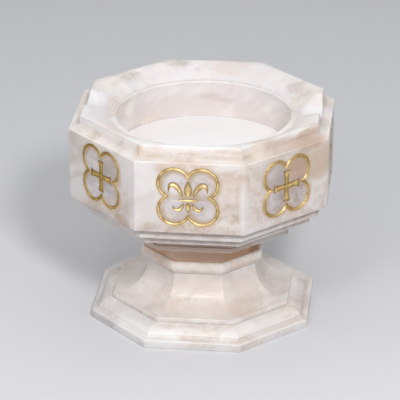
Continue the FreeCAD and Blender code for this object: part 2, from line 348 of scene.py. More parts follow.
def alabaster(name, tones, bed, warmth=0.5, stains_and_shading=(), gloss=0.36, hollow_dirt_and_shade=0.6, polish=0.3):
    """Polished alabaster: a pale ground with warm clouds, grey veils, white puffs and streaks.

    tones are the ground, the clouds and the veils. bed is how the block lay in the quarry:
    the turn and shift of the pattern. All of it is noise, bent a little by slower noise,
    and the veils and streaks are stretched along the bed. The marks are (place mm, size mm,
    colour, depth, speckle): soft ellipsoids with a ragged edge, broken up by a fine mottle
    as far as speckle says; most are stains, and some are painted shade, glow or highlight.
    The attribute of wear and shading whitens the arrises, as bruising and as a painted
    highlight, and darkens the hollows, as dirt and as painted shade. A clear coat stands for
    the wax polish.
    """
    material, tree, shader, here = new_material(name)
    pale, warm, grey = tones
    laid = add(tree, "Mapping", Vector=here, Rotation=Euler(bed[:3]), Location=bed[3:]).outputs[0]
    slow = add(tree, "TexNoise", Vector=laid, Scale=9.0, Detail=2.0).outputs["Color"]
    centred = maths(tree, "SUBTRACT", slow, (0.5, 0.5, 0.5), kind="VectorMath")
    bent = maths(tree, "MULTIPLY_ADD", centred, (0.09, 0.09, 0.05), laid, kind="VectorMath")
    layered = add(tree, "Mapping", Vector=bent, Scale=(1.0, 1.4, 2.6)).outputs[0]
    drawn = add(tree, "Mapping", Vector=bent, Scale=(0.8, 1.3, 5.0)).outputs[0]
    cloud = noise(tree, bent, 13.0, 4.0, 0.55)
    veil = noise(tree, layered, 15.0, 5.0, 0.55)
    puff = noise(tree, bent, 46.0, 6.0, 0.7)
    mottle = noise(tree, bent, 120.0, 3.0)
    streak = noise(tree, drawn, 11.0, 5.0, 0.5)
    fine = noise(tree, laid, 480.0, 3.0)
    speckled = ramp(tree, mottle, 0.40, 0.64)
    colour = blend(tree, ramp(tree, cloud, 0.42, 0.64, 0, warmth), pale, warm)
    colour = blend(tree, ramp(tree, veil, 0.50, 0.66, 0, 0.6), colour, grey)
    tanned = times(tree, speckled, ramp(tree, cloud, 0.44, 0.62, 0, warmth))
    colour = blend(tree, tanned, colour, (206, 184, 168))
    colour = blend(tree, ramp(tree, streak, 0.58, 0.70, 0, 0.28), colour, (204, 188, 176))
    colour = blend(tree, ramp(tree, puff, 0.48, 0.70, 0, 0.6), colour, (250, 247, 246))
    for place, size, mark_colour, depth, speckle in stains_and_shading:
        gap = maths(tree, "SUBTRACT", here, Vector(place) * MM, kind="VectorMath")
        share = maths(tree, "DIVIDE", gap, Vector(size) * MM, kind="VectorMath")
        far = maths(tree, "LENGTH", share, kind="VectorMath")
        ragged = maths(tree, "MULTIPLY_ADD", veil, -2.2, far)
        mark = ramp(tree, ragged, 0.05, -0.75, 0, depth)
        broken = ramp(tree, speckled, 0.0, 1.0, 1 - speckle, 1.0)
        colour = blend(tree, times(tree, mark, broken), colour, mark_colour)
    # Arrises are whitened as bruising and as a painted highlight, hollows darkened as dirt and as
    # painted shade.
    wear_and_shading = wear_and_shading_share(tree)
    patchy = ramp(tree, cloud, 0.40, 0.60, 0.35, 1.0)
    bruise_and_highlight = times(tree, ramp(tree, wear_and_shading, 0.3, 1.0, 0, 0.45), patchy)
    dirt_and_shading = times(tree, ramp(tree, wear_and_shading, 0.0, -1.0, 0, hollow_dirt_and_shade), patchy)
    colour = blend(tree, bruise_and_highlight, colour, (250, 247, 244))
    colour = blend(tree, dirt_and_shading, colour, (168, 142, 120))
    dull = ramp(tree, veil, 0.3, 0.7, gloss, gloss + 0.18)
    dress(tree, shader, colour, dull, fine, 0.12, 0.0004)
    body = {"Subsurface Weight": 0.3, "Subsurface Radius": (1.0, 0.66, 0.45),
            "Subsurface Scale": 0.006, "IOR": 1.52, "Coat Weight": polish, "Coat Roughness": 0.13}
    for socket, value in body.items():
        shader.inputs[socket].default_value = value
    return material


def extent(box):
    """Half width, bottom and top of a box, mm."""
    low, high = box
    return high.x / MM, low.z / MM, high.z / MM


SLANT = 1.016                 # slanting faces of plinth and foot stand this much further out
PLINTH_FACE = 11.5
HOLLOW = (147.5, 12.3)
OVOLO_NOSE = (143.0, 18.0)
OVOLO_BACK = 126.0
NUT_POCKET = 17.0
LOWER_POCKET = 16.5
plinth_half, _, plinth_top = extent(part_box("plinth"))
plinth_profile = [
    (ROD_HOLE, LOWER_POCKET, None), (NUT_POCKET, LOWER_POCKET, None), (NUT_POCKET, 0.0, None),
    (plinth_half, 0.0, 0.5),
    (plinth_half, PLINTH_FACE, 1.3),
    (*HOLLOW, 0),
    *between(HOLLOW, OVOLO_NOSE, 4, -0.9),
    (*OVOLO_NOSE, 1.2),
    *between(OVOLO_NOSE, (OVOLO_BACK, plinth_top), 6, 2.2),
    (OVOLO_BACK, plinth_top, 0),
    (ROD_HOLE, plinth_top, None),
]
plinth_stains_and_shading = [
    ((-35, -135, 27), (22, 12, 8), (226, 208, 190), 0.6, 0.4),
    # grey on the left side: painted shade on the side turned from the lamps
    ((-150, -40, 16), (60, 110, 40), (204, 198, 196), 0.7, 0.3),
    ((79, -134, 14), (34, 14, 12), (212, 196, 184), 0.35, 0.7),
    ((120, -104, 16), (70, 50, 14), (236, 231, 229), 0.8, 0.2),
    # grey on the left front: painted shade, as on the left side
    ((-92, -104, 24), (76, 66, 9), (224, 218, 216), 0.8, 0.2),
    ((146, -10, 18), (24, 70, 30), (206, 190, 178), 0.7, 0.5),
]
plinth_stone = alabaster(
    "plinth_alabaster", [(243, 241, 240), (230, 212, 198), (210, 205, 202)],
    (0.4, 0.2, 0.9, 0.31, 0.12, 0.05), warmth=0.4, stains_and_shading=plinth_stains_and_shading, hollow_dirt_and_shade=0.3, polish=0.12)
make_stone("plinth", plinth_profile, 44, 3, plinth_stone, "plinth_alabaster", SLANT)

# === Cement beds: brown polyester stone cement between the stones, a millimetre thick. It was
# squeezed out a little when the rod was drawn tight, and wiped off before it had set.


def resin(name, deep, dusty):
    """Set brown resin: a deep colour, with dust lying in its surface."""
    material, tree, shader, here = new_material(name)
    patch = noise(tree, here, 60.0, 5.0, 0.5)
    colour = blend(tree, ramp(tree, patch, 0.35, 0.7), deep, dusty)
    dress(tree, shader, colour, ramp(tree, patch, 0.3, 0.7, 0.35, 0.7), patch, 0.3, 0.0005)
    return material


brown_resin = resin("brown_resin", (150, 102, 58), (190, 150, 108))
tan_resin = resin("tan_resin", (204, 160, 122), (220, 188, 158))
dusty_resin = resin("dusty_resin", (228, 214, 204), (242, 234, 228))


def cement_bed(node, seed, squeeze, resin_used):
    """Bed whose edge runs in and out by squeeze mm: an octagon moved along its normals."""
    half, bottom, top = extent(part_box(node))
    plan = stations(40)
    profile = [(ROD_HOLE, bottom, None), (half, bottom, 0), (half, top, 0), (ROD_HOLE, top, None)]
    rows, _, _ = carve_rows(profile, plan, seed)
    edge = squeeze * wander(rows.shape[1], np.random.default_rng(seed), (8, 90)).clip(-0.6, 1)
    normal = facing(plan[0] + plan[2])
    middle = (rows[1] + rows[2]) / 2
    rows[1:3, :, :2] += edge[:, None] * normal
    middle[:, :2] += (edge + 0.4 * squeeze)[:, None] * normal
    rows = np.concatenate([rows[:2], middle[None], rows[2:]])
    rest_on(make_shell(node + "_cement", rows, resin_used), "brown_resin", node)


cement_bed("bed_under_foot", 40, 0.8, dusty_resin)
cement_bed("bed_under_collar", 41, 0.4, dusty_resin)
cement_bed("bed_under_neck", 42, 0.9, tan_resin)
cement_bed("bed_under_bowl", 43, 0.5, brown_resin)

# === Foot: one block with an upright tier fillet and a large cavetto that sweeps in to the
# shaft. Warmer alabaster than the plinth, with peach clouds and a soft polish.

TIER_HALF = 124.0
TIER_TOP = 33.5
SHAFT_HALF = 76.5
CAVETTO = 44.5
_, foot_bottom, foot_top = extent(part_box("foot"))
foot_profile = [
    (ROD_HOLE, foot_bottom, None),
    (TIER_HALF, foot_bottom, 0.45),
    (TIER_HALF, TIER_TOP, 1.8),
    *arc((SHAFT_HALF + CAVETTO, TIER_TOP + CAVETTO), CAVETTO, 270, 180, 22),
    (SHAFT_HALF, foot_top, 0.3),
    (ROD_HOLE, foot_top, None),
]
foot_stains = [
    ((60, -88, 36), (40, 26, 14), (218, 198, 180), 0.6, 0.4),
    ((71, -56, 61), (24, 24, 16), (246, 243, 244), 0.9, 0.8),
    ((-74, -54, 60), (26, 34, 34), (238, 234, 232), 0.8, 0.5),
    ((-110, -20, 40), (40, 60, 30), (214, 206, 201), 0.6, 0.4),
    ((62, -62, 58), (30, 30, 24), (218, 203, 193), 0.6, 0.2),
    ((0, -90, 70), (60, 30, 24), (228, 216, 209), 0.6, 0.2),
    ((0, -104, 38), (60, 26, 10), (232, 221, 215), 0.7, 0.4),
]
foot_stone = alabaster(
    "foot_alabaster", [(234, 227, 223), (225, 207, 196), (212, 203, 199)],
    (1.1, 0.3, 0.2, 0.05, 0.42, 0.17), warmth=0.4, stains_and_shading=foot_stains)
make_stone("foot", foot_profile, 36, 8, foot_stone, "stem_alabaster", SLANT)

# === Collar: a thin octagonal stone with a roll moulding worked on its edge. It hides the
# change from the shaft to the neck.

COLLAR_SEAT = 78.0
COLLAR_BULGE = (85.4, 91.5)
COLLAR_EDGE = 82.3
_, collar_bottom, collar_top = extent(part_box("collar"))


def through(start, middle, end, count):
    """Entries from start to end on a parabola of the section that passes the middle point."""
    share = np.linspace(0, 1, count)[:, None]
    start, middle, end = map(np.array, (start, middle, end))
    pull = 2 * middle - (start + end) / 2
    point = (1 - share) ** 2 * start + 2 * share * (1 - share) * pull + share**2 * end
    return [(x, z, 0) for x, z in point]


collar_profile = [
    (ROD_HOLE, collar_bottom, None),
    *through((COLLAR_SEAT, collar_bottom), COLLAR_BULGE, (COLLAR_EDGE, collar_top), 14)[:-1],
    (COLLAR_EDGE, collar_top, 0.7),
    (ROD_HOLE, collar_top, None),
]
collar_painted_glow = [
    # warm peach at the left and right ends of the roll: painted glow, the neck's orange light
    # reflected onto the collar
    ((-68, -62, 98), (34, 44, 14), (224, 198, 178), 0.7, 0.2),
    ((66, -60, 88), (34, 44, 10), (228, 206, 188), 0.6, 0.2),
]
collar_stone = alabaster(
    "collar_alabaster", [(248, 241, 234), (236, 216, 196), (224, 210, 198)],
    (0.2, 1.3, 0.5, 0.21, 0.02, 0.37), warmth=0.3, stains_and_shading=collar_painted_glow)
make_stone("collar", collar_profile, 24, 12, collar_stone, "stem_alabaster")

# === Neck: a plain octagonal drum under the bowl. Resin from the beds above and below it has
# soaked into the stone and turned it orange-brown. Its tone is also painted shade and warm
# glow from under the bowl: darker at the top and at the sides.

neck_half, neck_bottom, neck_top = extent(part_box("neck"))
neck_profile = [
    (ROD_HOLE, neck_bottom, None), (neck_half, neck_bottom, 0.4),
    *between((neck_half, neck_bottom), (neck_half, neck_top), 6),
    (neck_half, neck_top, 0.4), (ROD_HOLE, neck_top, None),
]
neck_stains_and_shade = [
    # Most of these are painted shade and warm glow under the bowl: lighter in the middle of the
    # front, darker at the top and at the sides. The small dark spot at the right back is a resin
    # drip.
    ((0, -78, 118), (60, 20, 30), (222, 184, 156), 0.8, 0.0),
    ((-44, -68, 129), (22, 22, 10), (190, 134, 86), 0.9, 0.2),
    ((-62, -56, 117), (36, 36, 30), (204, 158, 120), 0.8, 0.1),
    ((56, -58, 118), (30, 30, 34), (218, 168, 120), 0.8, 0.1),
    ((52, -62, 130), (26, 26, 10), (204, 142, 88), 0.8, 0.3),
    # painted shade down the right side of the neck
    ((80, -36, 118), (12, 40, 40), (164, 118, 82), 0.9, 0.0),
    ((77, -34, 131), (7, 7, 10), (140, 84, 40), 0.9, 0.2),
    ((-78, -34, 128), (8, 8, 14), (160, 104, 58), 0.9, 0.2),
]
neck_stone = alabaster(
    "neck_alabaster", [(232, 198, 172), (214, 164, 124), (204, 164, 134)],
    (0.9, 0.7, 1.5, 0.31, 0.23, 0.07), warmth=0.8, stains_and_shading=neck_stains_and_shade)
make_stone("neck", neck_profile, 24, 15, neck_stone, "stem_alabaster")

# === Rod, nuts, washers and leather packings: one 10 mm brass rod through every stone, with a
# thread cut on each end. A nut and washer draw it tight in a pocket at either end.

PITCH = 1.5
THREAD_DEPTH = 0.9
THREADED = 22.0               # length of thread at each end, mm
TURN_ROWS = 8                 # rows of points to one turn of the thread
SIDES = 24
rod_radius, rod_bottom, rod_top = extent(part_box("tie_rod"))


def machined(name, colour, dark, roughness, metal):
    """Metal or leather: an even colour with tarnish and fine scratches."""
    material, tree, shader, here = new_material(name)
    darkening = ramp(tree, noise(tree, here, 90.0, 6.0, 0.5), 0.4, 0.7)
    stretched = add(tree, "Mapping", Vector=here, Scale=(900.0, 900.0, 40.0)).outputs[0]
    scratch = noise(tree, stretched, 1.0, 3.0, 0.5)
    dull = ramp(tree, scratch, 0.3, 0.7, roughness, roughness + 0.2)
    dress(tree, shader, blend(tree, darkening, colour, dark), dull, scratch, 0.2, 0.0002)
    shader.inputs["Metallic"].default_value = metal
    return material


def turned_rows(radius, height, count):
    """Rows of points round the axis, count to a row, from radius[row, 1 or count]."""
    angle = np.linspace(0, math.tau, count, endpoint=False)
    ring = radius[..., None] * on_circle(angle)
    rise = np.broadcast_to(height[:, None, None], ring.shape[:2] + (1,))
    return np.concatenate([ring, rise], 2)


def give(material, *nodes):
    """Make the CAD's own mesh of these nodes of that material."""
    for node in nodes:
        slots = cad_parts[node].data.materials
        slots.clear()
        slots.append(material)


brass = machined("dull_brass", (198, 160, 92), (128, 96, 56), 0.35, 1.0)
leather = machined("packing_leather", (128, 88, 56), (82, 54, 34), 0.7, 0.0)

plain_low, plain_high = rod_bottom + THREADED, rod_top - THREADED
height = np.concatenate([np.arange(rod_bottom, plain_low, PITCH / TURN_ROWS),
                         np.linspace(plain_low, plain_high, 12),
                         np.arange(plain_high, rod_top, PITCH / TURN_ROWS)[1:], [rod_top]])
turn = np.linspace(0, math.tau, SIDES, endpoint=False) / math.tau
wave = np.abs((height[:, None] / PITCH - turn) % 1 - 0.5) * 2
from_end = np.minimum(height - rod_bottom, rod_top - height)[:, None]
chamfer = np.clip(1.0 - from_end, 0, 1)
radius = rod_radius - THREAD_DEPTH * wave * (from_end < THREADED) - chamfer
rod_rows = turned_rows(np.pad(radius, ((1, 1), (0, 0))), np.pad(height, 1, "edge"), SIDES)
rod = make_shell("threaded_rod", rod_rows, brass, last=-1)
rest_on(rod, "brass", "tie_rod")
give(brass, "upper_nut", "upper_washer", "lower_nut", "lower_washer")
give(leather, "upper_packing", "lower_packing")

# === Bowl: one octagonal block. Steps and a cove are worked below its faces and a cove and a
# fillet above; the basin, its rolled lip and the shallow dish round it are turned. Each
# face has an incised quatrefoil with a V-cut device in it, all of it gilded.

RIM_RISE = 2.5                # the rim as cut stands this much above the CAD's
body_half, seat, cad_top = extent(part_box("bowl"))
rim_top = cad_top + RIM_RISE
FACE_BOTTOM, FACE_TOP = 189.5, 291.5
RIM_HALF = 162.5
RIM_FILLET = (164.0, 299.0)   # foot of the upright fillet round the rim
RIM_COVE = (167.2, 293.8)     # middle of the cove below it
COVE_START, COVE_END = 174.5, (RIM_FILLET[0] - 0.7, RIM_FILLET[1] - 0.6)
BOWL_SEAT = 123.5
SEAT_FILLET = (121.0, 143.0)
UNDER_COVE, UNDER_COVE_END = 32.0, (150.0, 161.5)
LOWER_STEP, LOWER_STEP_TOP = 153.5, 174.0
UPPER_STEP = 166.0
BASIN, BASIN_SEAT = 126.0, 223.5
WALL_UPRIGHT = 245.0          # above this the wall leans in
WALL_TOP = (124.7, 279.0)
LIP_HOLLOW, LIP_UNDER = (123.1, 285.6), (121.5, 289.8)
POCKET_FLOOR = 201.5
LIP, LIP_NOSE, LIP_START = (123.6, 290.6), 2.2, (124.7, 292.5)
QUIRK = (126.9, 292.0)        # the groove between the lip and the dish
DISH_EDGE, DISH_END = 159.5, (QUIRK[0] + 3, QUIRK[1] + 0.1)
FACE_ROWS = 12
RUN = 60

lower = [
    (ROD_HOLE, POCKET_FLOOR, None), (ROD_HOLE, seat, None),
    (BOWL_SEAT, seat, 1.0),
    (BOWL_SEAT, SEAT_FILLET[1], 1.0),
    (*SEAT_FILLET, 0),
    *arc((UNDER_COVE_END[0], UNDER_COVE_END[1] - UNDER_COVE), UNDER_COVE, 155, 90, 10)[1:],
    (LOWER_STEP, UNDER_COVE_END[1], 1.0),
    (LOWER_STEP, LOWER_STEP_TOP, 0),
    (UPPER_STEP, LOWER_STEP_TOP, 1.1),
    (UPPER_STEP, FACE_BOTTOM, 0),
    (body_half, FACE_BOTTOM, 1.0),
]
middle = between((body_half, FACE_BOTTOM), (body_half, FACE_TOP), FACE_ROWS)
upper = [
    (body_half, FACE_TOP, 1.1),
    *through((COVE_START, FACE_TOP), RIM_COVE, COVE_END, 10),
    (*RIM_FILLET, 0.8),
    (RIM_HALF, rim_top, 1.0),
]
basin = [
    (DISH_EDGE + 0.8, rim_top, 0), (DISH_EDGE, rim_top - 0.3, 0),
    *between((DISH_EDGE, rim_top), DISH_END, 12, 1.2),
    *through(DISH_END, QUIRK, LIP_START, 6),
    *arc(LIP, LIP_NOSE, 55, 200, 12),
    *through(LIP_UNDER, LIP_HOLLOW, WALL_TOP, 10)[1:],
    *between(WALL_TOP, (BASIN, WALL_UPRIGHT), 4),
    (BASIN, WALL_UPRIGHT, 0), (BASIN, BASIN_SEAT, 0),
    (NUT_POCKET, BASIN_SEAT, 0), (NUT_POCKET, POCKET_FLOOR, 0),
]
upper += [(x, z, None) for x, z, _ in basin]       # turned, not octagonal
nicks = [
    (FACE_BOTTOM, 0.678, 2.4, 0.0016), (FACE_BOTTOM, 0.684, 3.0, 0.0016),
    (FACE_BOTTOM, 0.690, 2.2, 0.0014), (FACE_BOTTOM, 0.695, 2.6, 0.0018),
    (FACE_TOP, 0.113, 2.8, 0.0020), (FACE_TOP, 0.119, 2.4, 0.0024),
]
plan = stations(RUN)
bowl_rows, bowl_wear_and_shading, first = carve_rows(lower + middle + upper, plan, seed=21, nicks=nicks)
face_low = first[len(lower)] - 1
face_high = first[len(lower + middle)]

# A shallow gouge crosses the rim in the middle of each side face: a trough of round section
# whose floor falls outward, steep in front and drawn out behind. What stands above it is
# brought down to it, with a soft edge.
GOUGE_RADIUS, GOUGE_INNER, GOUGE_OUTER = 24.0, (137.0, 299.0), (167.0, 294.0)
GOUGE_RUN_IN = 14.0           # it starts this far nearer the axis than GOUGE_INNER
GOUGES = {1: (-3.0, 2.1, -0.5), -1: (-10.0, 2.0, 7.0)}    # by side: middle, stretch, rise
SOFT_EDGE = 1.0
for side, (middle_y, stretch, raised) in GOUGES.items():
    out = bowl_rows[..., 0] * side
    share = (out - GOUGE_INNER[0]) / (GOUGE_OUTER[0] - GOUGE_INNER[0])
    floor_height = GOUGE_INNER[1] + share * (GOUGE_OUTER[1] - GOUGE_INNER[1]) + raised
    behind = bowl_rows[..., 1] - middle_y
    aside = np.where(behind > 0, behind / stretch, -behind).clip(0, GOUGE_RADIUS)
    trough = floor_height + GOUGE_RADIUS - np.sqrt(GOUGE_RADIUS**2 - aside**2)
    height = bowl_rows[..., 2]
    on_rim = (out > GOUGE_INNER[0] - GOUGE_RUN_IN) & (height > FACE_TOP + 0.5)
    lowered = -SOFT_EDGE * np.logaddexp(-height / SOFT_EDGE, -trough / SOFT_EDGE)
    bowl_rows[..., 2] = np.where(on_rim & (aside < GOUGE_RADIUS), lowered, height)

number = np.arange(bowl_rows[..., 0].size).reshape(bowl_rows.shape[:2])
quads = grid_faces(*bowl_rows.shape[:2])
keep = np.ones(quads.shape[:2], bool)
keep[face_low:face_high] = plan[1] >= 1       # the flat of each face is filled below
bowl_points = [bowl_rows.reshape(-1, 3)]
bowl_wear_and_shading = [bowl_wear_and_shading.ravel()]
bowl_faces = quads[keep].tolist()
STONE, FIELD, GILT = 0, 1, 2
bowl_choice = [STONE] * len(bowl_faces)

# The cuts are drawn in mm from the middle of a quatrefoil, to the right and up.
LOBE_OFFSET = 18.3            # centres of the four lobes, each way
LOBE_RADIUS = 20.7            # to the middle of the groove
LOBE_POINTS = 40
GROOVE_WIDTH = 4.4
GROOVE_DEPTH = 2.3
CUSP_STOP = 25.4              # how near the centre the groove's cusps are cut
DEVICE_HEIGHT = 242.3
CROSS_REACH, CROSS_WAIST, CROSS_END = 22.3, 3.8, 6.7
CROSS_SLOPE = 0.42            # depth of the cross's spine as a share of its half width
STROKE_SLOPE = 0.55           # the same for a stroke
QUARTERS = np.arange(4) * math.pi / 2


def quatrefoil(offset):
    """Closed curve of four lobes moved out by offset: each an arc that ends on the axes."""
    radius = LOBE_RADIUS + offset
    spread = math.pi / 4 + math.asin(LOBE_OFFSET / radius)
    swing = np.linspace(-spread, spread, LOBE_POINTS, endpoint=False)
    quarter = QUARTERS[:, None] + math.pi / 4
    centre = LOBE_OFFSET * math.sqrt(2)
    point = (centre * on_circle(quarter) + radius * on_circle(quarter + swing)).reshape(-1, 2)
    away = np.hypot(*point.T)[:, None]
    return point * np.maximum(1, CUSP_STOP / away)


def groove():
    """The quatrefoil's groove, [row, point, (x, z, depth)]: a V with a rounded bottom."""
    offset = np.linspace(-0.5, 0.5, 9)
    depth = GROOVE_DEPTH * (1 - np.abs(2 * offset) ** 1.15)
    loops = np.array([quatrefoil(share * GROOVE_WIDTH) for share in offset])
    return np.concatenate([loops, np.broadcast_to(depth[:, None, None], loops.shape[:2] + (1,))], 2)


def cross():
    """V-cut cross with flared arms, [row, point, (x, z, depth)], from outline to spine.

    An arm's half width grows from the waist to the end as the cube of the way along. Each
    outline point runs down to its foot on the arm's centre line, and the depth of a foot
    is a fixed share of the half width there.
    """
    way = np.linspace(0, 1, 12)
    x = CROSS_WAIST + way * (CROSS_REACH - CROSS_WAIST)
    y = CROSS_WAIST + (CROSS_END - CROSS_WAIST) * way**3
    cap = np.linspace(-1, 1, 7)[1:-1]
    outline = np.concatenate([np.stack([x, -y], -1),
                              np.stack([CROSS_REACH + 0.5 * (1 - cap**2), CROSS_END * cap], -1),
                              np.stack([x, y], -1)[::-1][:-1]])
    along = np.concatenate([way, np.ones(len(cap)), way[::-1][:-1]])
    foot = np.stack([along * (CROSS_REACH - CROSS_END), np.zeros(len(along))], -1)
    deep = CROSS_SLOPE * np.concatenate([y, np.full(len(cap), CROSS_END), y[::-1][:-1]])
    down = np.linspace(0, 1, 5)[:, None]
    arm = outline + down[..., None] * (foot - outline)
    depth = (deep * down**0.9)[..., None]
    turns = [np.array([[math.cos(a), -math.sin(a)], [math.sin(a), math.cos(a)]]) for a in QUARTERS]
    return np.concatenate([np.concatenate([arm @ turn.T, depth], -1) for turn in turns], 1)


def stroke(points, width, fullest=0.5):
    """V-cut stroke along a cubic Bezier, [across, along, (x, z, depth)], pointed at both ends.

    Its half width is width times a sine to the power 0.8, whose peak is moved to `fullest`
    of the length by a power. Its depth falls from a fixed share of that half width on the
    centre line to nothing at the edge.
    """
    t = ((1 - np.cos(np.linspace(0, math.pi, 26))) / 2)[:, None]
    a, b, c, d = np.array(points, float)
    spine = (1 - t) ** 3 * a + 3 * t * (1 - t) ** 2 * b + 3 * t**2 * (1 - t) * c + t**3 * d
    heading = 3 * (1 - t) ** 2 * (b - a) + 6 * t * (1 - t) * (c - b) + 3 * t**2 * (d - c)
    heading /= np.hypot(*heading.T)[:, None]
    half = width * np.sin(math.pi * t ** (math.log(0.5) / math.log(fullest))) ** 0.8
    across = np.linspace(-1, 1, 7)[:, None, None]
    point = spine + across * half * np.stack([-heading[:, 1], heading[:, 0]], -1)
    depth = STROKE_SLOPE * half * (1 - np.abs(across))
    return np.concatenate([point, depth], -1)


def lily():
    """Strokes of a fleur-de-lis: middle petal, two turned-over petals, band and three tails."""
    petal = stroke([(7.4, -0.6), (9.6, 13.5), (25.5, 28.5), (25.6, 5.0)], 4.0, 0.46)
    tail = stroke([(6.0, -8.6), (7.6, -19.0), (17.0, -23.5), (21.0, -11.5)], 2.9, 0.40)
    mirror = np.array([-1, 1, 1])
    return [
        stroke([(0, -0.6), (0, 6), (0, 15), (0, 22.6)], 5.4, 0.42),
        petal, petal * mirror,
        stroke([(-15, -4.6), (-5, -4.6), (5, -4.6), (15, -4.6)], 2.3),
        stroke([(0, -8.4), (0, -12), (0, -17), (0, -22.6)], 3.6, 0.40),
        tail, tail * mirror,
    ]


def face_cuts(device):
    """Everything cut into one face, and the numbers of the points on the groove's inner edge.

    Each cut is (points, faces, outline), by vertex number. The groove comes first, and its
    outline is its outer edge.
    """
    ring = groove()
    rows, count = ring.shape[:2]
    cuts = [(ring, None, np.arange(count) + (rows - 1) * count)]
    if device == "cross":
        cut = cross()
        cuts.append((cut, None, np.arange(cut.shape[1])))
    else:
        for cut in lily():
            grid = np.arange(cut.size // 3).reshape(cut.shape[:2])
            cuts.append((cut, -1, np.concatenate([grid[0], grid[-1, -2:0:-1]])))
    found = [(cut.reshape(-1, 3), grid_faces(*cut.shape[:2])[:-1, :last].reshape(-1, 4), outline)
             for cut, last, outline in cuts]
    return found, np.arange(count)


def fill(loops, flat):
    """Triangles of the flat stone between an outer loop and the loops inside it.

    loops hold vertex numbers and flat their plane coordinates.
    """
    outline = [[Vector((*point, 0)) for point in flat[loop]] for loop in loops]
    order = np.concatenate(loops)
    return [order[list(corner)].tolist() for corner in tessellate_polygon(outline)]


# By face, of which 6 is the front: how far right of and above its place it was marked, its size.
SET_OUT = {6: (-2.0, 0.2, 1.025), 7: (-0.3, 0.0, 1.0), 5: (-0.9, 2.0, 1.0)}
for face in range(FACES):
    normal = np.append(facing(face), 0)
    right = np.append(facing(face + FACES / 4), 0)
    begin = face * (RUN + BEND)
    end = begin + RUN
    border = np.concatenate([
        number[face_low, begin:end + 1], number[face_low + 1:face_high, end],
        number[face_high, begin:end + 1][::-1], number[face_low + 1:face_high, begin][::-1]])
    cuts, groove_inside = face_cuts("cross" if face % 2 else "lily")
    start = offset = sum(len(points) for points in bowl_points)
    outlines = []
    aside, up, size = SET_OUT.get(face, (0.0, 0.0, 1.0))
    for points, faces, outline in cuts:
        across, rise = size * points[:, :1] + aside, size * points[:, 1:2] + up
        bowl_points.append(normal * (body_half - points[:, 2:]) + right * across
                           + np.array([0, 0, 1]) * (rise + DEVICE_HEIGHT))
        bowl_wear_and_shading.append(points[:, 2] / points[:, 2].max())
        bowl_faces += (faces + offset).tolist()
        bowl_choice += [GILT] * len(faces)
        outlines.append(outline + offset)
        offset += len(points)
    everything = np.concatenate(bowl_points)
    flat = np.stack([everything @ right, everything[:, 2]], -1)
    around = fill([border, outlines[0]], flat)
    inside = fill([groove_inside + start, *outlines[1:]], flat)
    bowl_faces += around + inside
    bowl_choice += [STONE] * len(around) + [FIELD] * len(inside)

